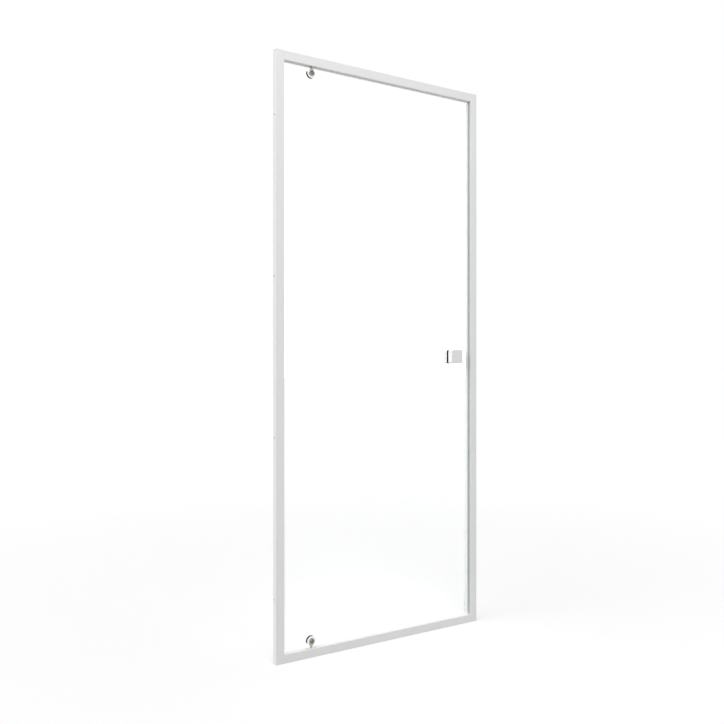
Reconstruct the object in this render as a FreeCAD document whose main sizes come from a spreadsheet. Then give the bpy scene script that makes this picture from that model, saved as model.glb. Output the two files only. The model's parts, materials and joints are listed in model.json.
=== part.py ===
import FreeCAD, Part
import os
import re

import Sketcher
from FreeCAD import Placement, Rotation, Vector

# A framed pivot shower door, closed, in millimetres. +X runs from the hinge side to the strike side,
# -Y is the front (outside the shower) and +Z is up. The origin is the middle of the sill's underside,
# where the frame stands on the shower tray.

SIZES = {
    # frame
    "frame_width": 800.0,
    "frame_height": 1900.0,
    "frame_front": 17.0,
    "frame_back": 3.0,
    "hinge_jamb_face": 29.0,
    "strike_jamb_face": 27.0,
    "head_face": 29.0,
    "sill_face": 27.0,
    "wall": 1.6,
    "bead_length": 4.0,
    "bead_wall": 3.2,
    "edge_round": 1.0,
    "fine_round": 0.6,
    "lid_thickness": 2.0,
    "lid_plug_depth": 3.0,
    "lid_plug_start": 22.5,
    # screw ports along the rails and the screws in them
    "port_radius": 3.9,
    "port_offset": 4.8,
    "port_inset": 10.0,
    "screw_radius": 2.0,
    "screw_bore": 2.05,
    "screw_clearance": 2.15,
    "screw_head_radius": 3.4,
    "screw_head_height": 2.4,
    "corner_screw_length": 26.0,
    # channels that are screwed to the walls, inside the jambs
    "channel_reach": 22.0,
    "channel_front": 13.4,
    "channel_back": 1.0,
    "channel_foot": 1.0,
    "channel_height": 1896.5,
    "wall_hole_radius": 2.75,
    "wall_hole_forward": 6.2,
    "outer_hole_pitch": 1500.0,
    "inner_hole_pitch": 500.0,
    # adjustment between jamb and channel
    "adjust_inset": 7.0,
    "adjust_travel": 10.0,
    "adjust_pitch": 750.0,
    "slot_half_width": 2.3,
    "adjust_screw_length": 8.2,
    "nut_side": 7.0,
    "nut_height": 3.2,
    "nut_gap": 0.3,
    "dome_radius": 5.5,
    "dome_height": 3.4,
    "dome_wall": 0.8,
    # glass leaf
    "glass_thickness": 5.0,
    "glass_hinge_gap": 5.0,
    "glass_strike_gap": 11.0,
    "glass_end_gap": 5.5,
    "glass_arris": 0.5,
    "glass_corner": 2.0,
    # seals
    "seal_wall": 1.2,
    "seal_end_grip": 3.5,
    "seal_crown": 1.5,
    "seal_fin": 4.9,
    "seal_fin_thickness": 1.0,
    "seal_stop": 0.5,
    "edge_seal_grip": 7.0,
    "edge_seal_back": 2.0,
    "magnet_seal_grip": 8.0,
    "magnet_seal_back": 7.0,
    "magnet_width": 4.2,
    "magnet_depth": 5.4,
    "magnet_head_front": 9.8,
    "magnet_gap": 0.1,
    "strip_thickness": 2.6,
    "strip_front": 15.0,
    "strip_back": 1.0,
    "strip_wall": 0.6,
    "bulb_radius": 2.4,
    "bulb_wall": 0.8,
    "bulb_stand": 2.6,
    "bulb_forward": 7.4,
    "bulb_foot_front": 11.0,
    "bulb_foot_back": 4.4,
    # pivot: axis, bush and block in each rail
    "hinge_inset": 128.0,
    "hinge_end": 50.0,
    "pin_forward": 6.8,
    "pin_radius": 2.6,
    "bush_radius": 4.5,
    "bush_bore": 2.65,
    "bush_length": 12.0,
    "bush_depth": 11.0,
    "block_half_length": 22.0,
    "block_half_depth": 7.0,
    "block_height": 10.5,
    "block_screw_offset": 15.0,
    "csk_head_radius": 2.8,
    "csk_head_height": 1.3,
    "csk_radius": 1.5,
    "csk_length": 10.0,
    "csk_gap": 0.05,
    # hinge hardware on the glass
    "disc_radius": 15.8,
    "pad_thickness": 8.6,
    "disc_thickness": 0.8,
    "disc_round": 0.3,
    "disc_flat": 6.0,
    "spigot_radius": 7.2,
    "boss_radius": 10.2,
    "boss_height": 1.6,
    "neck_back": 2.8,
    "neck_start": 6.4,
    "neck_half_width": 9.2,
    "neck_shoulder": 8.8,
    "neck_shoulder_half_width": 8.4,
    "neck_waist": 12.0,
    "neck_waist_half_width": 5.8,
    "neck_tip": 15.0,
    "neck_tip_half_width": 3.9,
    "neck_round": 1.0,
    "hole_gap": 0.3,
    "pin_start": 7.4,
    "clamp_screw_radius": 2.4,
    "clamp_screw_bore": 2.6,
    "clamp_thread": 2.45,
    "counterbore_radius": 5.8,
    "counterbore_depth": 3.6,
    "washer_radius": 5.7,
    "washer_thickness": 0.6,
    "hex_radius": 3.6,
    "hex_height": 2.0,
    "sleeve_radius": 5.9,
    "hinge_hole": 6.0,
    "back_radius": 9.6,
    "back_gasket": 1.0,
    "back_plate": 3.5,
    "back_round": 1.0,
    # knobs
    "knob_inset": 95.0,
    "knob_height": 953.0,
    "knob_side": 49.0,
    "knob_corner": 6.5,
    "knob_front": 25.5,
    "knob_pad": 3.0,
    "knob_edge": 0.6,
    "knob_wall": 2.5,
    "knob_face": 3.5,
    "knob_boss": 8.0,
    "knob_web": 9.0,
    "knob_bore": 3.0,
    "knob_bore_end": 20.5,
    "knob_hole": 6.0,
    "stud_radius": 2.95,
    "stud_half_length": 18.5,
    "grub_radius": 2.0,
    "grub_length": 10.0,
    "grub_forward": 14.5,
}

# places that several pieces share
HINGE_X = "(hinge_inset - frame_width / 2)"
KNOB_X = "(frame_width / 2 - knob_inset)"
MIDDLE_Z = "frame_height / 2"
PORT_DEPTHS = [f"(frame_back - frame_front) / 2 {sign} port_offset" for sign in "-+"]
HEAD_Z = "(frame_height - head_face)"
GLASS_HINGE_X = "(hinge_jamb_face + glass_hinge_gap - frame_width / 2)"
GLASS_STRIKE_X = "(frame_width / 2 - strike_jamb_face - glass_strike_gap)"
GLASS_BOTTOM_Z = "(sill_face + glass_end_gap)"
GLASS_TOP_Z = "(frame_height - head_face - glass_end_gap)"
CLEAR_WIDTH = "(frame_width - hinge_jamb_face - strike_jamb_face)"
DISC_FRONT = "(glass_thickness / 2 + pad_thickness + disc_thickness)"

UPRIGHT = None
UPSIDE_DOWN = (Vector(0, 1, 0), 180)
ABOUT_FACE = (Vector(0, 0, 1), 180)
SHANK_TO_STRIKE = (Vector(0, 1, 0), 90)
SHANK_TO_HINGE = (Vector(0, 1, 0), -90)
SHANK_TO_FRONT = (Vector(1, 0, 0), 90)
DOME_TO_BACK = (Vector(1, 0, 0), -90)

doc = FreeCAD.newDocument("pivot_shower_door")
pieces = []


# ---------------------------------------------------------------- sheet, bodies and sketches

def make_sheet():
    sheet = doc.addObject("Spreadsheet::Sheet", "sizes")
    for row, (name, value) in enumerate(SIZES.items(), start=1):
        sheet.set(f"A{row}", name)
        sheet.set(f"B{row}", str(value))
        sheet.setAlias(f"B{row}", name)
    doc.recompute()


def formula(text):
    """The text as an expression, with each size read from the sheet."""
    return re.sub(r"[a-z]\w*", lambda word: f"sizes.{word[0]}" if word[0] in SIZES else word[0], text)


def place(item, position, turn):
    if turn:
        item.Placement = Placement(Vector(0, 0, 0), Rotation(*turn))
    for axis, text in zip("xyz", position):
        item.setExpression(f"Placement.Base.{axis}", formula(text))


def new_body(label, position=("0", "0", "0"), turn=UPRIGHT, kept=True):
    body = doc.addObject("PartDesign::Body", label)
    body.Label = label
    place(body, position, turn)
    if kept:
        pieces.append(body)
    return body


def new_sketch(body, role, offset="0"):
    """An empty sketch on one of the body's origin planes, moved along the plane's normal by offset."""
    sketch = body.newObject("Sketcher::SketchObject", f"{body.Name}_sketch")
    plane = next(item for item in body.Origin.OriginFeatures if item.Role == role)
    sketch.AttachmentSupport = [(plane, "")]
    sketch.MapMode = "FlatFace"
    sketch.setExpression("AttachmentOffset.Base.z", formula(offset))
    return sketch


def hold(sketch, kind, value, text, *where):
    number = sketch.addConstraint(Sketcher.Constraint(kind, *where, value))
    sketch.setExpression(f"Constraints[{number}]", formula(text))


def polygon(sketch, corners):
    """A closed outline of straight lines, each corner held by its two distances from the origin."""
    first = sketch.GeometryCount
    count = len(corners)
    turns = [Rotation(Vector(0, 0, 1), 360 * number / count) for number in range(count)]
    spots = [turn.multVec(Vector(1, 0, 0)) for turn in turns]
    for number in range(count):
        sketch.addGeometry(Part.LineSegment(spots[number], spots[(number + 1) % count]))
    for number in range(count):
        before = first + (number - 1) % count
        sketch.addConstraint(Sketcher.Constraint("Coincident", before, 2, first + number, 1))
    for number, (across, up) in enumerate(corners):
        hold(sketch, "DistanceX", spots[number].x, across, -1, 1, first + number, 1)
        hold(sketch, "DistanceY", spots[number].y, up, -1, 1, first + number, 1)


def rectangle(sketch, left, right, bottom, top):
    polygon(sketch, [(left, bottom), (right, bottom), (right, top), (left, top)])


def circle(sketch, across, up, radius):
    ring = sketch.addGeometry(Part.Circle(Vector(1, 1, 0), Vector(0, 0, 1), 1))
    hold(sketch, "DistanceX", 1, across, -1, 1, ring, 3)
    hold(sketch, "DistanceY", 1, up, -1, 1, ring, 3)
    hold(sketch, "Radius", 1, radius, ring)


# ---------------------------------------------------------------- features

def pad(body, sketch, length, both_ways=False):
    feature = body.newObject("PartDesign::Pad", f"{body.Name}_pad")
    feature.Profile = sketch
    feature.Midplane = both_ways
    feature.setExpression("Length", formula(length))
    doc.recompute()
    return feature


def pocket(body, sketch, length=None, along_normal=False):
    """Cuts the sketch out of the body, against the sketch's normal, or right through if it has no length."""
    volume = body.Shape.Volume
    feature = body.newObject("PartDesign::Pocket", f"{body.Name}_pocket")
    feature.Profile = sketch
    if length is None:
        feature.Type = "ThroughAll"
        feature.Midplane = True
    else:
        feature.Reversed = along_normal
        feature.setExpression("Length", formula(length))
    doc.recompute()
    if not body.Shape.Volume < volume:
        raise RuntimeError(f"a pocket of {body.Label} cuts nothing")


def revolve(body, corners):
    """Turns an outline of (radius, height) corners about the body's Z axis."""
    sketch = new_sketch(body, "XZ_Plane")
    polygon(sketch, corners)
    feature = body.newObject("PartDesign::Revolution", f"{body.Name}_revolution")
    feature.Profile = sketch
    feature.ReferenceAxis = (sketch, ["V_Axis"])
    feature.Angle = 360
    doc.recompute()


def bore(body, radius, height, position, end_radius=None):
    """A round hole along the body's Z axis, or a tapered one if its end has a radius of its own."""
    volume = body.Shape.Volume
    kind = "Cone" if end_radius else "Cylinder"
    feature = body.newObject(f"PartDesign::Subtractive{kind}", f"{body.Name}_bore")
    if end_radius:
        feature.setExpression("Radius1", formula(radius))
        feature.setExpression("Radius2", formula(end_radius))
    else:
        feature.setExpression("Radius", formula(radius))
    feature.setExpression("Height", formula(height))
    place(feature, position, UPRIGHT)
    doc.recompute()
    if not body.Shape.Volume < volume:
        raise RuntimeError(f"a bore of {body.Label} cuts nothing")


def edges_at(body, **where):
    """Names of the edges that lie wholly at the given x, y or z of the body's own frame."""
    found = []
    for number, edge in enumerate(body.Tip.Shape.Edges, start=1):
        box = edge.BoundBox
        ends = {"x": (box.XMin, box.XMax), "y": (box.YMin, box.YMax), "z": (box.ZMin, box.ZMax)}
        if all(abs(end - value) < 0.01 for axis, value in where.items() for end in ends[axis]):
            found.append(f"Edge{number}")
    return found


def edges_along(body, axis):
    """Names of the straight edges that run along one axis of the body's own frame."""
    found = []
    for number, edge in enumerate(body.Tip.Shape.Edges, start=1):
        straight = isinstance(edge.Curve, Part.Line)
        if straight and abs(abs(edge.tangentAt(edge.FirstParameter).dot(axis)) - 1) < 0.001:
            found.append(f"Edge{number}")
    return found


def soften(body, kind, size, edges):
    """A Fillet or a Chamfer of one size on the named edges."""
    base = body.Tip
    feature = body.newObject(f"PartDesign::{kind}", f"{body.Name}_{kind.lower()}")
    feature.Base = (base, edges)
    feature.setExpression("Radius" if kind == "Fillet" else "Size", formula(size))
    doc.recompute()


def group(label, template, places):
    """One sub-part of separate identical solids, a copy of the template at each place."""
    copies = []
    for number, (position, turn) in enumerate(places, start=1):
        copy = doc.addObject("App::Link", f"{label}_{number}")
        copy.LinkedObject = template
        place(copy, position, turn)
        copies.append(copy)
    compound = doc.addObject("Part::Compound", label)
    compound.Label = label
    compound.Links = copies
    pieces.append(compound)


# ---------------------------------------------------------------- frame: jambs, rails, lids

def make_jamb(label, side, face, mark):
    """An aluminium upright, open towards the wall. side is the sign of X, mark the sign towards the door."""
    body = new_body(label, (f"{side} * frame_width / 2", "0", "0"))
    section = new_sketch(body, "XY_Plane")
    front, back = "-frame_front", "frame_back"
    polygon(section, [
        ("0", front),
        (f"{mark} * {face}", front),
        (f"{mark} * {face}", back),
        ("0", back),
        ("0", f"{back} - wall"),
        (f"{mark} * ({face} - wall)", f"{back} - wall"),
        (f"{mark} * ({face} - wall)", f"{front} + wall"),
        (f"{mark} * bead_length", f"{front} + wall"),
        (f"{mark} * bead_length", f"{front} + bead_wall"),
        ("0", f"{front} + bead_wall"),
    ])
    pad(body, section, "frame_height - lid_thickness")
    soften_jamb_edges(body, face, mark)

    ends = new_sketch(body, "YZ_Plane")
    for depth in PORT_DEPTHS:
        for height in ("port_inset", "frame_height - port_inset"):
            circle(ends, depth, height, "screw_clearance")
    pocket(body, ends)

    back_holes = new_sketch(body, "XZ_Plane")
    for step in (-1, 0, 1):
        circle(back_holes, f"{mark} * adjust_inset", f"{MIDDLE_Z} + {step} * adjust_pitch", "screw_clearance")
    pocket(body, back_holes, "2 * frame_back")


def soften_jamb_edges(body, face, mark):
    """Rounds the outer front edge, and more finely the other long edges that show."""
    front, back = -SIZES["frame_front"], SIZES["frame_back"]
    door_side = mark * SIZES[face]
    soften(body, "Fillet", "edge_round", edges_at(body, x=0, y=front))
    for x, y in ((door_side, front), (door_side, back), (0, back)):
        soften(body, "Fillet", "fine_round", edges_at(body, x=x, y=y))


def make_lid(label, side, face, mark):
    """The lid on top of a jamb, with a plug that drops into it beside the wall channel."""
    body = new_body(label, (f"{side} * frame_width / 2", "0", "frame_height - lid_thickness"))
    top = new_sketch(body, "XY_Plane")
    rectangle(top, "0", f"{mark} * {face}", "-frame_front", "frame_back")
    pad(body, top, "lid_thickness")
    soften_jamb_edges(body, face, mark)
    plug = new_sketch(body, "XY_Plane", "-lid_plug_depth")
    rectangle(plug, f"{mark} * lid_plug_start", f"{mark} * ({face} - wall)", "wall - frame_front",
              "frame_back - wall")
    pad(body, plug, "lid_plug_depth")


def make_rail(label, level, face, outer_is_top):
    """A hollow rail between the jambs, with a screw port along its front and its back wall."""
    body = new_body(label, ("hinge_jamb_face - frame_width / 2", "0", level))
    section = new_sketch(body, "YZ_Plane")
    rectangle(section, "-frame_front", "frame_back", "0", face)
    rectangle(section, "wall - frame_front", "frame_back - wall", "wall", f"{face} - wall")
    pad(body, section, CLEAR_WIDTH)

    front, back = -SIZES["frame_front"], SIZES["frame_back"]
    outer = SIZES[face] if outer_is_top else 0
    inner = SIZES[face] - outer
    soften(body, "Fillet", "edge_round", edges_at(body, y=front, z=outer))
    for y, z in ((back, outer), (front, inner), (back, inner)):
        soften(body, "Fillet", "fine_round", edges_at(body, y=y, z=z))

    port_height = f"{face} - port_inset" if outer_is_top else "port_inset"
    for radius, add in (("port_radius", True), ("screw_bore", False)):
        ports = new_sketch(body, "YZ_Plane")
        for depth in PORT_DEPTHS:
            circle(ports, depth, port_height, radius)
        if add:
            pad(body, ports, CLEAR_WIDTH)
        else:
            pocket(body, ports)
    bore_rail_for_pivot(body, face, outer_is_top)


def bore_rail_for_pivot(body, face, outer_is_top):
    """Holes in the wall that faces the door: one for the bush, two countersunk ones for the block's screws."""
    surface = "0" if outer_is_top else f"{face}"
    start = surface if outer_is_top else f"{face} - wall"
    cone_start = surface if outer_is_top else f"{face} - csk_head_height"
    across = "hinge_inset - hinge_jamb_face"
    bore(body, "bush_radius", "wall", (across, "-pin_forward", start))
    wide, narrow = "csk_head_radius + csk_gap", "csk_radius + csk_gap"
    radii = (wide, narrow) if outer_is_top else (narrow, wide)
    for side in (-1, 1):
        spot = (f"{across} + {side} * block_screw_offset", "-pin_forward")
        bore(body, narrow, "wall", (*spot, start))
        bore(body, radii[0], "csk_head_height", (*spot, cone_start), end_radius=radii[1])


# ---------------------------------------------------------------- frame: pivots in the rails

def make_pivot(name, surface, turn):
    """The block, bush and screws that carry one end of the door. Their Z axis points into the rail."""
    axis = (HINGE_X, "-pin_forward", surface)
    block = new_body(f"{name}_pivot_block", axis, turn)
    outline = new_sketch(block, "XY_Plane", "wall")
    rectangle(outline, "-block_half_length", "block_half_length", "-block_half_depth", "block_half_depth")
    pad(block, outline, "block_height")
    soften(block, "Fillet", "fine_round", edges_along(block, Vector(0, 0, 1)))
    bore(block, "bush_radius", "block_height", ("0", "0", "wall"))
    for side in (-1, 1):
        spot = (f"{side} * block_screw_offset", "0", "wall")
        bore(block, "csk_radius + csk_gap", "block_height", spot)

    bush = new_body(f"{name}_pivot_bush", axis, turn)
    revolve(bush, [
        ("bush_bore", "0"),
        ("bush_radius", "0"),
        ("bush_radius", "bush_length"),
        ("0", "bush_length"),
        ("0", "bush_depth"),
        ("bush_bore", "bush_depth"),
    ])


def make_countersunk_screw():
    screw = new_body("countersunk_screw", kept=False)
    revolve(screw, [
        ("0", "csk_head_height * 0.7"),
        ("csk_radius * 0.6", "csk_head_height * 0.7"),
        ("csk_radius * 0.6", "0"),
        ("csk_head_radius", "0"),
        ("csk_radius", "csk_head_height"),
        ("csk_radius", "csk_length"),
        ("0", "csk_length"),
    ])
    return screw


def make_pan_screw(name, length):
    """A pan-head screw with a round driver socket. Its shank runs along +Z from the underside of the head."""
    screw = new_body(name, kept=False)
    revolve(screw, [
        ("0", "-screw_head_height * 0.4"),
        ("screw_head_radius * 0.35", "-screw_head_height * 0.4"),
        ("screw_head_radius * 0.35", "-screw_head_height"),
        ("screw_head_radius * 0.75", "-screw_head_height"),
        ("screw_head_radius", "-screw_head_height * 0.6"),
        ("screw_head_radius", "0"),
        ("screw_radius", "0"),
        ("screw_radius", f"{length} - screw_radius / 2"),
        ("screw_radius / 2", length),
        ("0", length),
    ])
    return screw


def place_frame_screws():
    csk_screw = make_countersunk_screw()
    for name, surface, turn in (("top", HEAD_Z, UPRIGHT), ("bottom", "sill_face", UPSIDE_DOWN)):
        spots = [(f"{HINGE_X} + {side} * block_screw_offset", "-pin_forward", surface) for side in (-1, 1)]
        group(f"{name}_pivot_screws", csk_screw, [(spot, turn) for spot in spots])

    corner_screw = make_pan_screw("corner_screw", "corner_screw_length")
    corners = []
    ends = (("hinge_jamb_face", "-", SHANK_TO_STRIKE), ("strike_jamb_face", "", SHANK_TO_HINGE))
    for face, side, turn in ends:
        x = f"{side}(frame_width / 2 - {face} + wall)"
        for y in PORT_DEPTHS:
            for z in ("port_inset", "frame_height - port_inset"):
                corners.append(((x, y, z), turn))
    group("corner_screws", corner_screw, corners)


# ---------------------------------------------------------------- wall channels and their adjustment

def make_wall_channel(label, side, mark):
    """A U channel, screwed to the wall, that the jamb slides over. Its slots give the travel."""
    body = new_body(label, (f"{side} * frame_width / 2", "0", "channel_foot"))
    section = new_sketch(body, "XY_Plane")
    polygon(section, [
        ("0", "-channel_front"),
        (f"{mark} * channel_reach", "-channel_front"),
        (f"{mark} * channel_reach", "wall - channel_front"),
        (f"{mark} * wall", "wall - channel_front"),
        (f"{mark} * wall", "channel_back - wall"),
        (f"{mark} * channel_reach", "channel_back - wall"),
        (f"{mark} * channel_reach", "channel_back"),
        ("0", "channel_back"),
    ])
    pad(body, section, "channel_height")

    middle = f"{MIDDLE_Z} - channel_foot"
    wall_holes = new_sketch(body, "YZ_Plane")
    for pitch in ("outer_hole_pitch", "inner_hole_pitch"):
        for end in (-1, 1):
            circle(wall_holes, "-wall_hole_forward", f"{middle} + {end} * {pitch} / 2", "wall_hole_radius")
    pocket(body, wall_holes)

    slot_start, slot_end = f"{mark} * adjust_inset", f"{mark} * (adjust_inset + adjust_travel)"
    heights = [f"{middle} + {step} * adjust_pitch" for step in (-1, 0, 1)]
    straight = new_sketch(body, "XZ_Plane", "frame_front / 2")
    for height in heights:
        rectangle(straight, slot_start, slot_end, f"{height} - slot_half_width", f"{height} + slot_half_width")
    pocket(body, straight, "frame_front")
    for end in (slot_start, slot_end):
        rounds = new_sketch(body, "XZ_Plane", "frame_front / 2")
        for height in heights:
            circle(rounds, end, height, "slot_half_width")
        pocket(body, rounds, "frame_front")


def make_dome():
    """The snap-on dome over a screw head. It opens towards -Z."""
    dome = new_body("screw_dome", kept=False)
    inside = "(dome_radius - dome_wall)"
    revolve(dome, [
        (inside, "0"),
        ("dome_radius", "0"),
        ("dome_radius", "dome_height - dome_wall"),
        (inside, "dome_height"),
        ("0", "dome_height"),
        ("0", "dome_height - dome_wall"),
        (inside, "dome_height - dome_wall"),
    ])
    return dome


def make_clamp_nut():
    nut = new_body("clamp_nut", kept=False)
    outline = new_sketch(nut, "XY_Plane")
    rectangle(outline, "-nut_side / 2", "nut_side / 2", "-nut_side / 2", "nut_side / 2")
    pad(nut, outline, "nut_height")
    bore(nut, "screw_bore", "nut_height", ("0", "0", "0"))
    return nut


def place_adjusting_hardware():
    spots = [(f"{side} * (frame_width / 2 - adjust_inset)", f"{MIDDLE_Z} + {step} * adjust_pitch")
             for side in (-1, 1) for step in (-1, 0, 1)]
    hardware = (
        ("adjusting_screws", make_pan_screw("adjusting_screw", "adjust_screw_length"), "frame_back",
         SHANK_TO_FRONT),
        ("clamp_nuts", make_clamp_nut(), "channel_back - wall - nut_gap", SHANK_TO_FRONT),
        ("screw_domes", make_dome(), "frame_back", DOME_TO_BACK),
    )
    for label, template, depth, turn in hardware:
        group(label, template, [((x, depth, z), turn) for x, z in spots])


# ---------------------------------------------------------------- seals on the frame

def make_bulb_seal():
    """The hollow bulb on the hinge jamb that the glass closes against from behind."""
    body = new_body("hinge_jamb_bulb_seal", ("hinge_jamb_face - frame_width / 2", "0", "sill_face + seal_stop"))
    length = "frame_height - head_face - sill_face - 2 * seal_stop"
    foot = new_sketch(body, "XY_Plane")
    rectangle(foot, "0", "bulb_wall", "-bulb_foot_front", "-bulb_foot_back")
    pad(body, foot, length)
    for radius, add in (("bulb_radius", True), ("bulb_radius - bulb_wall", False)):
        ring = new_sketch(body, "XY_Plane")
        circle(ring, "bulb_stand", "-bulb_forward", radius)
        if add:
            pad(body, ring, length)
        else:
            pocket(body, ring)


def make_strike_strip():
    """The flat strip on the strike jamb that holds the frame's half of the magnetic closer."""
    foot = ("frame_width / 2 - strike_jamb_face", "0", "sill_face + seal_stop")
    length = "frame_height - head_face - sill_face - 2 * seal_stop"
    carrier = new_body("strike_strip_carrier", foot)
    outline = new_sketch(carrier, "XY_Plane")
    rectangle(outline, "-strip_thickness", "0", "-strip_front", "-strip_back")
    rectangle(outline, "strip_wall - strip_thickness", "-strip_wall", "2 * strip_wall - strip_front",
              "-strip_back - 2 * strip_wall")
    pad(carrier, outline, length)
    magnet = new_body("strike_strip_magnet", foot)
    bar = new_sketch(magnet, "XY_Plane")
    rectangle(bar, "strip_wall + magnet_gap - strip_thickness", "-strip_wall - magnet_gap",
              "2 * strip_wall + magnet_gap - strip_front", "-strip_back - 2 * strip_wall - magnet_gap")
    pad(magnet, bar, length)


# ---------------------------------------------------------------- glass and the seals on its edges

def make_glass():
    body = new_body("door_glass")
    outline = new_sketch(body, "XZ_Plane")
    rectangle(outline, GLASS_HINGE_X, GLASS_STRIKE_X, GLASS_BOTTOM_Z, GLASS_TOP_Z)
    pad(body, outline, "glass_thickness", both_ways=True)
    soften(body, "Fillet", "glass_corner", edges_along(body, Vector(0, 1, 0)))
    half = SIZES["glass_thickness"] / 2
    soften(body, "Chamfer", "glass_arris", edges_at(body, y=-half) + edges_at(body, y=half))
    holes = new_sketch(body, "XZ_Plane")
    circle(holes, HINGE_X, "hinge_end", "hinge_hole")
    circle(holes, HINGE_X, "frame_height - hinge_end", "hinge_hole")
    circle(holes, KNOB_X, "knob_height", "knob_hole")
    pocket(body, holes)


def make_edge_seals():
    """The upright seals that grip the glass. The one on the strike edge has a magnet in its head."""
    half = "glass_thickness / 2"
    outside = f"({half} + seal_wall)"
    foot = f"{GLASS_BOTTOM_Z} + seal_end_grip + seal_stop"
    length = f"{GLASS_TOP_Z} - {GLASS_BOTTOM_Z} - 2 * seal_end_grip - 2 * seal_stop"

    plain = new_body("hinge_edge_seal", (GLASS_HINGE_X, "0", foot))
    section = new_sketch(plain, "XY_Plane")
    polygon(section, [
        ("-edge_seal_back", f"-{outside}"),
        ("edge_seal_grip", f"-{outside}"),
        ("edge_seal_grip", f"-{half}"),
        ("0", f"-{half}"),
        ("0", half),
        ("edge_seal_grip", half),
        ("edge_seal_grip", outside),
        ("-edge_seal_back", outside),
    ])
    pad(plain, section, length)

    magnetic = new_body("strike_edge_seal", (GLASS_STRIKE_X, "0", foot))
    section = new_sketch(magnetic, "XY_Plane")
    bar_end = "magnet_seal_back - seal_wall - magnet_gap"
    bar_start = f"{bar_end} - magnet_width"
    bar_front = "(seal_wall + magnet_gap - magnet_head_front)"
    bar_back = f"({bar_front} + magnet_depth)"
    polygon(section, [
        ("-magnet_seal_grip", f"-{outside}"),
        ("0", f"-{outside}"),
        ("0", "-magnet_head_front"),
        ("magnet_seal_back", "-magnet_head_front"),
        ("magnet_seal_back", f"{bar_back} + magnet_gap + seal_wall"),
        ("seal_wall", f"{bar_back} + magnet_gap + seal_wall"),
        ("seal_wall", outside),
        ("-magnet_seal_grip", outside),
        ("-magnet_seal_grip", half),
        ("0", half),
        ("0", f"-{half}"),
        ("-magnet_seal_grip", f"-{half}"),
    ])
    rectangle(section, f"{bar_start} - magnet_gap", f"{bar_end} + magnet_gap",
              f"{bar_front} - magnet_gap", f"{bar_back} + magnet_gap")
    pad(magnetic, section, length)

    magnet = new_body("leaf_magnet", (GLASS_STRIKE_X, "0", foot))
    bar = new_sketch(magnet, "XY_Plane")
    rectangle(bar, bar_start, bar_end, bar_front, bar_back)
    pad(magnet, bar, length)


def make_end_seals():
    """The finned seals on the glass's top and bottom edges, each in two lengths beside the hinge."""
    half = "glass_thickness / 2"
    outside = f"({half} + seal_wall)"
    fin = "seal_fin_thickness / 2"
    clear_of_hinge = "(disc_radius + seal_stop)"
    runs = (
        ("hinge_side", GLASS_HINGE_X, f"{HINGE_X} - {clear_of_hinge} - {GLASS_HINGE_X}"),
        ("strike_side", f"{HINGE_X} + {clear_of_hinge}", f"{GLASS_STRIKE_X} - {HINGE_X} - {clear_of_hinge}"),
    )
    ends = (("top_seal", GLASS_TOP_Z, 1), ("drip_seal", GLASS_BOTTOM_Z, -1))
    for name, edge, outward in ends:
        for run, start, length in runs:
            body = new_body(f"{name}_{run}", (start, "0", edge))
            section = new_sketch(body, "YZ_Plane")
            polygon(section, [(depth, f"{outward} * {height}") for depth, height in (
                (f"-{outside}", "(-seal_end_grip)"),
                (f"-{half}", "(-seal_end_grip)"),
                (f"-{half}", "0"),
                (half, "0"),
                (half, "(-seal_end_grip)"),
                (outside, "(-seal_end_grip)"),
                (outside, "seal_crown"),
                (fin, "seal_crown"),
                (fin, "seal_fin"),
                (f"-{fin}", "seal_fin"),
                (f"-{fin}", "seal_crown"),
                (f"-{outside}", "seal_crown"),
            )])
            pad(body, section, length)


# ---------------------------------------------------------------- hinges on the glass

def layer(body, start, thickness, draw):
    """A slab drawn on the XZ plane. start is its back face, in millimetres in front of the glass's middle."""
    sketch = new_sketch(body, "XZ_Plane", start)
    draw(sketch)
    return pad(body, sketch, thickness)


def ring(radius, hole):
    def draw(sketch):
        circle(sketch, "0", "0", radius)
        circle(sketch, "0", "0", hole)
    return draw


def disc(radius):
    return lambda sketch: circle(sketch, "0", "0", radius)


def cut_layer(body, start, depth, draw):
    """Removes a slab whose back face is start, from there towards the front."""
    sketch = new_sketch(body, "XZ_Plane", start)
    draw(sketch)
    pocket(body, sketch, depth, along_normal=True)


def beyond_flat(sketch):
    """The segment that pad and disc lack towards the rail, where the hub's neck is."""
    rectangle(sketch, "-disc_radius - 1", "disc_radius + 1", "disc_flat", "disc_radius + 1")


def neck_outline(sketch):
    polygon(sketch, [
        ("-neck_half_width", "neck_start"),
        ("neck_half_width", "neck_start"),
        ("neck_shoulder_half_width", "neck_shoulder"),
        ("neck_waist_half_width", "neck_waist"),
        ("neck_tip_half_width", "neck_tip"),
        ("-neck_tip_half_width", "neck_tip"),
        ("-neck_waist_half_width", "neck_waist"),
        ("-neck_shoulder_half_width", "neck_shoulder"),
    ])


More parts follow.
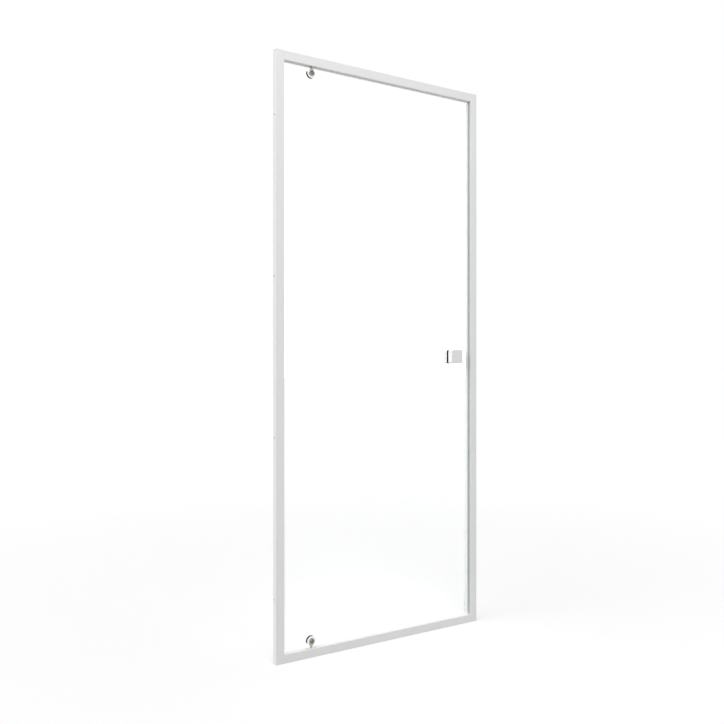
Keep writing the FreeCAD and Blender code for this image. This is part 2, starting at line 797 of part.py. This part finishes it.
def make_hinge(name, height, turn, rail_face, engagement):
    """One pivot hinge, centred on its hole in the glass. Its own Z axis points at the rail."""
    spot = (HINGE_X, "0", height)
    half = "glass_thickness / 2"
    pad_front = f"({half} + pad_thickness)"
    front = SIZES["glass_thickness"] / 2 + SIZES["pad_thickness"] + SIZES["disc_thickness"]

    cushion = new_body(f"{name}_hinge_pad", spot, turn)
    layer(cushion, half, "pad_thickness", ring("disc_radius", "spigot_radius + hole_gap"))
    cut_layer(cushion, half, "pad_thickness", beyond_flat)

    cover = new_body(f"{name}_hinge_disc", spot, turn)
    layer(cover, pad_front, "disc_thickness", disc("disc_radius"))
    soften(cover, "Fillet", "disc_round", edges_at(cover, y=-front))
    cut_layer(cover, pad_front, "disc_thickness", disc("spigot_radius + hole_gap"))
    cut_layer(cover, pad_front, "disc_thickness", beyond_flat)

    make_hub(name, spot, turn, front)

    sleeve = new_body(f"{name}_hinge_sleeve", spot, turn)
    layer(sleeve, f"-{half}", "glass_thickness", ring("sleeve_radius", "clamp_screw_bore"))

    gasket = new_body(f"{name}_hinge_back_gasket", spot, turn)
    layer(gasket, f"-{half} - back_gasket", "back_gasket", ring("back_radius", "clamp_screw_bore + hole_gap"))

    plate_back = SIZES["glass_thickness"] / 2 + SIZES["back_gasket"] + SIZES["back_plate"]
    plate = new_body(f"{name}_hinge_back_plate", spot, turn)
    layer(plate, f"-{half} - back_gasket - back_plate", "back_plate", disc("back_radius"))
    soften(plate, "Fillet", "back_round", edges_at(plate, y=plate_back))
    cut_layer(plate, f"-{half} - back_gasket - back_plate", "back_plate", disc("clamp_thread"))

    make_hinge_screw(name, spot, turn)

    pin = new_body(f"{name}_hinge_pin", (HINGE_X, "-pin_forward", height), turn)
    pin_end = f"(hinge_end - {rail_face} + {engagement})"
    revolve(pin, [
        ("0", "pin_start"),
        ("pin_radius", "pin_start"),
        ("pin_radius", f"{pin_end} - fine_round"),
        ("pin_radius - fine_round", pin_end),
        ("0", pin_end),
    ])


def make_hub(name, spot, turn, disc_front):
    """The cast hub: a boss on the disc, a spigot through the pad and a neck that narrows to the rail."""
    hub = new_body(f"{name}_hinge_hub", spot, turn)
    layer(hub, "neck_back", f"{DISC_FRONT} - neck_back", neck_outline)
    soften(hub, "Fillet", "neck_round", edges_along(hub, Vector(0, 1, 0)))
    soften(hub, "Fillet", "neck_round", edges_at(hub, y=-disc_front))
    layer(hub, DISC_FRONT, "boss_height", disc("boss_radius"))
    soften(hub, "Fillet", "fine_round", edges_at(hub, y=-disc_front - SIZES["boss_height"]))
    layer(hub, "neck_back", f"{DISC_FRONT} - neck_back", disc("spigot_radius"))
    bore(hub, "pin_radius", "neck_tip", ("0", "-pin_forward", "pin_start"))
    cut_layer(hub, "neck_back", f"{DISC_FRONT} + boss_height - neck_back", disc("clamp_screw_bore"))
    cut_layer(hub, f"{DISC_FRONT} + boss_height - counterbore_depth", "counterbore_depth",
              disc("counterbore_radius"))


def make_hinge_screw(name, spot, turn):
    """The brass screw that clamps hub and back plate together. Its hexagon stands on a washer in the hub."""
    floor = f"({DISC_FRONT} + boss_height - counterbore_depth)"
    washer = new_body(f"{name}_hinge_washer", spot, turn)
    layer(washer, floor, "washer_thickness", ring("washer_radius", "clamp_screw_bore"))
    screw = new_body(f"{name}_hinge_screw", spot, turn)
    head_back = f"({floor} + washer_thickness)"
    shank = f"({head_back} + glass_thickness / 2 + back_gasket + back_plate * 0.9)"
    layer(screw, f"{head_back} - {shank}", shank, disc("clamp_screw_radius"))
    corners = [(f"hex_radius * cos({60 * corner})", f"hex_radius * sin({60 * corner})") for corner in range(6)]
    layer(screw, head_back, "hex_height", lambda sketch: polygon(sketch, corners))


# ---------------------------------------------------------------- knobs

def make_knob(label, turn):
    """A square knob, hollow behind its face, with a boss for the stud and a web for the grub screw."""
    body = new_body(label, (KNOB_X, "0", "knob_height"), turn)
    back = "(glass_thickness / 2 + knob_pad)"
    depth = f"(knob_front - {back})"
    half = "knob_side / 2"
    layer(body, back, depth, lambda sketch: rectangle(sketch, f"-{half}", half, f"-{half}", half))
    soften(body, "Fillet", "knob_corner", edges_along(body, Vector(0, 1, 0)))
    soften(body, "Fillet", "knob_edge", edges_at(body, y=-SIZES["knob_front"]))
    inside = f"({half} - knob_wall)"
    cut_layer(body, back, f"{depth} - knob_face",
              lambda sketch: rectangle(sketch, f"-{inside}", inside, f"-{inside}", inside))
    layer(body, back, f"{depth} - knob_face", disc("knob_boss"))
    layer(body, back, f"{depth} - knob_face",
          lambda sketch: rectangle(sketch, "-knob_web / 2", "knob_web / 2", f"-{inside}", "-knob_bore * 2"))
    cut_layer(body, back, f"knob_bore_end - {back}", disc("knob_bore"))
    return body


def make_knobs():
    make_knob("outer_knob", UPRIGHT)
    inner = make_knob("inner_knob", ABOUT_FACE)
    bore(inner, "screw_bore", "knob_side / 2", ("0", "-grub_forward", "-knob_side / 2"))

    spot = (KNOB_X, "0", "knob_height")
    half = "glass_thickness / 2"
    for label, turn in (("outer_knob_gasket", UPRIGHT), ("inner_knob_gasket", ABOUT_FACE)):
        gasket = new_body(label, spot, turn)
        side = "knob_side / 2"
        layer(gasket, half, "knob_pad", lambda sketch: rectangle(sketch, f"-{side}", side, f"-{side}", side))
        soften(gasket, "Fillet", "knob_corner", edges_along(gasket, Vector(0, 1, 0)))
        cut_layer(gasket, half, "knob_pad", disc("knob_bore + hole_gap"))

    sleeve = new_body("knob_sleeve", spot)
    layer(sleeve, f"-{half}", "glass_thickness", ring("knob_hole - magnet_gap", "stud_radius + magnet_gap"))
    stud = new_body("knob_stud", spot)
    layer(stud, "-stud_half_length", "2 * stud_half_length", disc("stud_radius"))
    grub = new_body("knob_grub_screw", (KNOB_X, "grub_forward", "knob_height - stud_radius - grub_length"))
    revolve(grub, [
        ("grub_radius / 2", "0"),
        ("grub_radius", "0"),
        ("grub_radius", "grub_length"),
        ("0", "grub_length"),
        ("0", "grub_radius"),
        ("grub_radius / 2", "grub_radius"),
    ])


# ---------------------------------------------------------------- the whole door

def export_pieces():
    """Checks the document and every sub-part, then writes one STEP file for each."""
    doc.recompute()
    failed = [item.Label for item in doc.Objects if {"Invalid", "Error"} & set(item.State)]
    if failed:
        raise RuntimeError(f"not computed: {failed}")
    os.makedirs("parts", exist_ok=True)
    for piece in pieces:
        if piece.Shape.isNull() or not piece.Shape.isValid():
            raise RuntimeError(f"{piece.Label} has no valid shape")
        piece.Shape.exportStep(f"parts/{piece.Label}.step")
        print(f"{piece.Label}: {len(piece.Shape.Solids)} solid, {piece.Shape.Volume / 1000:.2f} cm3")


make_sheet()
for side_name, sign in (("hinge", -1), ("strike", 1)):
    make_jamb(f"{side_name}_jamb", sign, f"{side_name}_jamb_face", -sign)
    make_lid(f"{side_name}_jamb_lid", sign, f"{side_name}_jamb_face", -sign)
    make_wall_channel(f"{side_name}_wall_channel", sign, -sign)
make_rail("head_rail", HEAD_Z, "head_face", outer_is_top=True)
make_rail("sill_rail", "0", "sill_face", outer_is_top=False)
make_pivot("top", HEAD_Z, UPRIGHT)
make_pivot("bottom", "sill_face", UPSIDE_DOWN)
place_frame_screws()
place_adjusting_hardware()
make_bulb_seal()
make_strike_strip()
make_glass()
make_edge_seals()
make_end_seals()
make_hinge("top", "frame_height - hinge_end", UPRIGHT, "head_face", "bush_depth - 1")
make_hinge("bottom", "hinge_end", UPSIDE_DOWN, "sill_face", "bush_depth - csk_gap")
make_knobs()
export_pieces()
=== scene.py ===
import json
import math

import bpy
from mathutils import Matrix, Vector

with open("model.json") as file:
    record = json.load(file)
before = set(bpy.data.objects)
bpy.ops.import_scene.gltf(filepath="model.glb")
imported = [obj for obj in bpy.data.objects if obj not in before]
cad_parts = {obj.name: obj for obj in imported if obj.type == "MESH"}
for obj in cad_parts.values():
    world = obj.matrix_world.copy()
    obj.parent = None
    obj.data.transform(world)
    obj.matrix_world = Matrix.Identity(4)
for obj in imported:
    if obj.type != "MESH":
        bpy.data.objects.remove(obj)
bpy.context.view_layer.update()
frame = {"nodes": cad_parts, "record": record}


# ---------------------------------------------------------------- shader nodes

FULL_RANGE = (0.0, 1.0)
NOISE_RANGE = (0.3, 0.7)    # most of a noise texture lies between these


def add_node(tree, kind, **settings):
    node = tree.nodes.new(kind)
    for name, value in settings.items():
        setattr(node, name, value)
    return node


def remap(tree, value, source, target):
    """The value carried over from the range source to the range target."""
    node = add_node(tree, "ShaderNodeMapRange")
    for socket, end in zip(("From Min", "From Max", "To Min", "To Max"), (*source, *target)):
        node.inputs[socket].default_value = end
    tree.links.new(value, node.inputs["Value"])
    return node.outputs["Result"]


# ---------------------------------------------------------------- finishes

class Finish:
    """A material made of nodes around one Principled shader."""

    def __init__(self, name, **values):
        self.material = bpy.data.materials.new(name)
        self.material.use_nodes = True
        self.tree = self.material.node_tree
        self.shader = self.tree.nodes["Principled BSDF"]
        for socket, value in values.items():
            self.shader.inputs[socket.replace("_", " ")].default_value = value
        self.place = self.node("ShaderNodeTexCoord").outputs["Object"]

    def node(self, kind, **settings):
        return add_node(self.tree, kind, **settings)

    def link(self, output, target):
        self.tree.links.new(output, target)

    def noise(self, scale, detail=2.0, stretch=(1, 1, 1)):
        """Noise with features of about 1/scale metres, drawn out where stretch is small."""
        mapping = self.node("ShaderNodeMapping")
        mapping.inputs["Scale"].default_value = stretch
        self.link(self.place, mapping.inputs["Vector"])
        texture = self.node("ShaderNodeTexNoise")
        texture.inputs["Scale"].default_value = scale
        texture.inputs["Detail"].default_value = detail
        self.link(mapping.outputs["Vector"], texture.inputs["Vector"])
        return texture.outputs["Fac"]

    def spread(self, noise, ends):
        """Noise rescaled to run from the first end to the second."""
        return remap(self.tree, noise, NOISE_RANGE, ends)

    def colour(self, factor, first, second):
        """Base colour that goes from first to second with the factor."""
        mix = self.node("ShaderNodeMix", data_type="RGBA")
        mix.inputs["A"].default_value = (*first, 1)
        mix.inputs["B"].default_value = (*second, 1)
        self.link(factor, mix.inputs["Factor"])
        self.link(mix.outputs["Result"], self.shader.inputs["Base Color"])

    def mottle(self, noise, dark, light):
        self.colour(self.spread(noise, FULL_RANGE), dark, light)

    def roughness(self, output):
        self.link(output, self.shader.inputs["Roughness"])

    def bump(self, height, depth, strength):
        node = self.node("ShaderNodeBump")
        node.inputs["Strength"].default_value = strength
        node.inputs["Distance"].default_value = depth
        self.link(height, node.inputs["Height"])
        self.link(node.outputs["Normal"], self.shader.inputs["Normal"])

    def let_lamps_through(self, share):
        """Clear things cast only a faint shadow: that share of a lamp's light passes straight through."""
        passing = self.node("ShaderNodeBsdfTransparent")
        passing.inputs["Color"].default_value = (share, share, share, 1)
        choice = self.node("ShaderNodeMixShader")
        self.link(self.node("ShaderNodeLightPath").outputs["Is Shadow Ray"], choice.inputs["Fac"])
        self.link(self.shader.outputs["BSDF"], choice.inputs[1])
        self.link(passing.outputs["BSDF"], choice.inputs[2])
        self.link(choice.outputs["Shader"], self.tree.nodes["Material Output"].inputs["Surface"])

    def facing(self, axis, limit):
        """1 where the surface faces along the object's own axis, either way, and 0 elsewhere."""
        normal = self.node("ShaderNodeSeparateXYZ")
        self.link(self.node("ShaderNodeTexCoord").outputs["Normal"], normal.inputs["Vector"])
        size = self.node("ShaderNodeMath", operation="ABSOLUTE")
        self.link(normal.outputs[axis], size.inputs[0])
        test = self.node("ShaderNodeMath", operation="GREATER_THAN")
        test.inputs[1].default_value = limit
        self.link(size.outputs["Value"], test.inputs[0])
        return test.outputs["Value"]


def powder_coat(name):
    """White paint with a fine orange peel, a little warmer in patches."""
    finish = Finish(name, Specular_IOR_Level=0.45)
    finish.mottle(finish.noise(scale=5.0, detail=3.0), dark=(0.835, 0.836, 0.832), light=(0.858, 0.858, 0.856))
    finish.roughness(finish.spread(finish.noise(scale=700.0), (0.34, 0.46)))
    finish.bump(finish.noise(scale=1100.0, detail=1.0), depth=0.00006, strength=0.35)
    return finish


def moulded_plastic(name, dark, light, rough):
    finish = Finish(name)
    finish.mottle(finish.noise(scale=60.0, detail=4.0), dark, light)
    finish.roughness(finish.spread(finish.noise(scale=350.0), rough))
    finish.bump(finish.noise(scale=1800.0), depth=0.00003, strength=0.4)
    return finish


def clear_glass():
    """Clear on its faces, green and finely ground on its edges."""
    edge_colour, face_colour = (0.74, 0.90, 0.84), (0.992, 0.998, 0.996)
    edge_roughness, face_roughness = 0.28, 0.0
    finish = Finish("clear_glass", Transmission_Weight=1.0, IOR=1.5)
    finish.let_lamps_through(share=0.96)
    face = finish.facing("Y", limit=0.9)
    finish.colour(face, edge_colour, face_colour)
    finish.roughness(remap(finish.tree, face, FULL_RANGE, (edge_roughness, face_roughness)))
    return finish


def clear_seal():
    """Clear extruded plastic, with faint streaks along its length."""
    finish = Finish("clear_seal", IOR=1.4)
    streaks = finish.noise(scale=220.0, stretch=(1, 1, 0.05))
    finish.mottle(streaks, dark=(0.90, 0.93, 0.92), light=(0.96, 0.98, 0.97))
    finish.roughness(finish.spread(streaks, (0.10, 0.22)))
    finish.link(finish.spread(streaks, (0.025, 0.045)), finish.shader.inputs["Alpha"])
    return finish


def grey_seal():
    """The flexible strips that hold the magnets: translucent, so the dark magnet shows through as grey-green."""
    finish = Finish("grey_seal", IOR=1.45)
    streaks = finish.noise(scale=260.0, detail=3.0, stretch=(1, 1, 0.02))
    finish.mottle(streaks, dark=(0.43, 0.48, 0.46), light=(0.51, 0.56, 0.54))
    finish.roughness(finish.spread(streaks, (0.28, 0.42)))
    finish.bump(streaks, depth=0.00005, strength=0.4)
    return finish


def rubber(name, dark, light, shine):
    finish = Finish(name, Specular_IOR_Level=shine)
    finish.mottle(finish.noise(scale=420.0, detail=4.0), dark, light)
    finish.roughness(finish.spread(finish.noise(scale=800.0), (0.55, 0.75)))
    finish.bump(finish.noise(scale=2600.0), depth=0.00004, strength=0.5)
    return finish


def plated(name, dark, light, rough, grain=(1, 1, 1)):
    """Plated metal, with fine polishing marks drawn out along grain."""
    finish = Finish(name, Metallic=1.0)
    marks = finish.noise(scale=1500.0, detail=3.0, stretch=grain)
    finish.mottle(finish.noise(scale=90.0), dark, light)
    finish.roughness(finish.spread(marks, rough))
    finish.bump(marks, depth=0.00001, strength=0.25)
    return finish


def make_finishes():
    """The finish of each material slot that the record names."""
    return {
        "white_powder_coat": powder_coat("white_powder_coat"),
        "white_knob_coat": powder_coat("white_knob_coat"),
        "white_plastic": moulded_plastic("white_plastic", dark=(0.82, 0.82, 0.81), light=(0.86, 0.86, 0.85),
                                         rough=(0.30, 0.42)),
        "glass": clear_glass(),
        "clear_seal": clear_seal(),
        "grey_seal": grey_seal(),
        "white_magnet": rubber("white_magnet", dark=(0.79, 0.80, 0.79), light=(0.84, 0.85, 0.84), shine=0.35),
        "magnet": rubber("magnet", dark=(0.05, 0.05, 0.05), light=(0.09, 0.09, 0.09), shine=0.3),
        "nylon": moulded_plastic("nylon", dark=(0.75, 0.75, 0.70), light=(0.80, 0.80, 0.76), rough=(0.40, 0.55)),
        "black_rubber": rubber("black_rubber", dark=(0.003, 0.003, 0.003), light=(0.008, 0.008, 0.008), shine=0.02),
        "chrome": plated("chrome", dark=(0.86, 0.86, 0.87), light=(0.92, 0.92, 0.93), rough=(0.04, 0.10)),
        "satin_zinc": plated("satin_zinc", dark=(0.34, 0.34, 0.35), light=(0.43, 0.43, 0.44), rough=(0.26, 0.40)),
        "brass": plated("brass", dark=(0.48, 0.29, 0.09), light=(0.60, 0.38, 0.14), rough=(0.18, 0.30)),
        "steel": plated("steel", dark=(0.38, 0.38, 0.39), light=(0.47, 0.47, 0.48), rough=(0.18, 0.30),
                        grain=(1, 1, 0.1)),
    }


def dress_nodes():
    finishes = make_finishes()
    for part in frame["record"]["subparts"]:
        for slot in frame["nodes"][part["node"]].material_slots:
            slot.material = finishes[part["material_slot"]].material


# ---------------------------------------------------------------- floor and background

FLOOR_REACH = 60.0
FLOOR_HEIGHT = -0.0005          # just clear of the sill's underside
FLOOR_GREY = 0.55
GLOW_DISTANCES = (0.8, 4.5)     # from the door's middle: the shadow near it stays, and further out the floor is white
GLOW_STRENGTHS = (0.47, 0.64)
WORLD_LIGHT = 0.475             # what reaches the door, where the eye sees white


def white_to_the_eye(tree):
    """1 for rays from the camera, from a mirror and through glass, and 0 for rays that carry light."""
    path = add_node(tree, "ShaderNodeLightPath")
    total = path.outputs["Is Camera Ray"]
    for ray in ("Is Glossy Ray", "Is Transmission Ray"):
        join = add_node(tree, "ShaderNodeMath", operation="MAXIMUM")
        tree.links.new(total, join.inputs[0])
        tree.links.new(path.outputs[ray], join.inputs[1])
        total = join.outputs["Value"]
    return total


def floor_material():
    """Matt grey that takes the shadow, with a glow that only the eye sees."""
    material = bpy.data.materials.new("floor")
    material.use_nodes = True
    tree = material.node_tree
    tree.nodes.clear()
    matt = add_node(tree, "ShaderNodeBsdfDiffuse")
    matt.inputs["Color"].default_value = (FLOOR_GREY, FLOOR_GREY, FLOOR_GREY, 1)

    distance = add_node(tree, "ShaderNodeVectorMath", operation="LENGTH")
    tree.links.new(add_node(tree, "ShaderNodeTexCoord").outputs["Object"], distance.inputs[0])
    lift = add_node(tree, "ShaderNodeMath", operation="MULTIPLY")
    tree.links.new(white_to_the_eye(tree), lift.inputs[0])
    tree.links.new(remap(tree, distance.outputs["Value"], GLOW_DISTANCES, GLOW_STRENGTHS), lift.inputs[1])
    glow = add_node(tree, "ShaderNodeEmission")
    tree.links.new(lift.outputs["Value"], glow.inputs["Strength"])

    both = add_node(tree, "ShaderNodeAddShader")
    tree.links.new(matt.outputs["BSDF"], both.inputs[0])
    tree.links.new(glow.outputs["Emission"], both.inputs[1])
    out = add_node(tree, "ShaderNodeOutputMaterial")
    tree.links.new(both.outputs["Shader"], out.inputs["Surface"])
    return material


def make_floor():
    mesh = bpy.data.meshes.new("floor")
    corners = [(x * FLOOR_REACH, y * FLOOR_REACH, FLOOR_HEIGHT) for x, y in ((-1, -1), (1, -1), (1, 1), (-1, 1))]
    mesh.from_pydata(corners, [], [(0, 1, 2, 3)])
    mesh.materials.append(floor_material())
    floor = bpy.data.objects.new("floor", mesh)
    bpy.context.scene.collection.objects.link(floor)


def make_world():
    world = bpy.data.worlds.new("studio")
    world.use_nodes = True
    tree = world.node_tree
    background = tree.nodes["Background"]
    background.inputs["Color"].default_value = (1, 1, 1, 1)
    strength = remap(tree, white_to_the_eye(tree), FULL_RANGE, (WORLD_LIGHT, 1.0))
    tree.links.new(strength, background.inputs["Strength"])
    bpy.context.scene.world = world


# ---------------------------------------------------------------- lamps and camera

def hang(name, data, place, turn):
    """Puts a lamp or a camera in the scene."""
    holder = bpy.data.objects.new(name, data)
    holder.location = place
    holder.rotation_euler = turn
    bpy.context.scene.collection.objects.link(holder)
    return holder


def make_lamp(name, place, target, size, power):
    """A round lamp at place that shines towards target."""
    lamp = bpy.data.lights.new(name, "AREA")
    lamp.shape = "DISK"
    lamp.size = size
    lamp.energy = power
    hang(name, lamp, place, (Vector(target) - Vector(place)).to_track_quat("-Z", "Y").to_euler())


def make_sun(name, towards, spread, strength):
    """Light from one side, the same everywhere. spread is how wide the source looks, in degrees."""
    lamp = bpy.data.lights.new(name, "SUN")
    lamp.angle = math.radians(spread)
    lamp.energy = strength
    hang(name, lamp, (0, 0, 0), Vector(towards).to_track_quat("Z", "Y").to_euler())


def make_camera(place, heading, lens):
    """A level camera. heading is in degrees from the door's front, and lens in millimetres on a 36 mm sensor."""
    camera = bpy.data.cameras.new("camera")
    camera.lens = lens
    camera.sensor_width = 36.0
    level = math.radians(90)
    bpy.context.scene.camera = hang("camera", camera, place, (level, 0, math.radians(heading)))


# ---------------------------------------------------------------- scene

make_camera(place=(-1.4572, -2.2138, 0.9344), heading=-31.941, lens=39.165)
dress_nodes()
make_floor()
make_world()
make_lamp("key", place=(-1.0, -2.4, 4.2), target=(0, 0, 1.2), size=2.0, power=64.0)
make_sun("side", towards=(-0.88, -0.24, 0.41), spread=45.0, strength=1.4)
make_sun("back", towards=(0.35, 0.92, 0.18), spread=60.0, strength=0.6)
bpy.context.scene.view_settings.view_transform = "Standard"
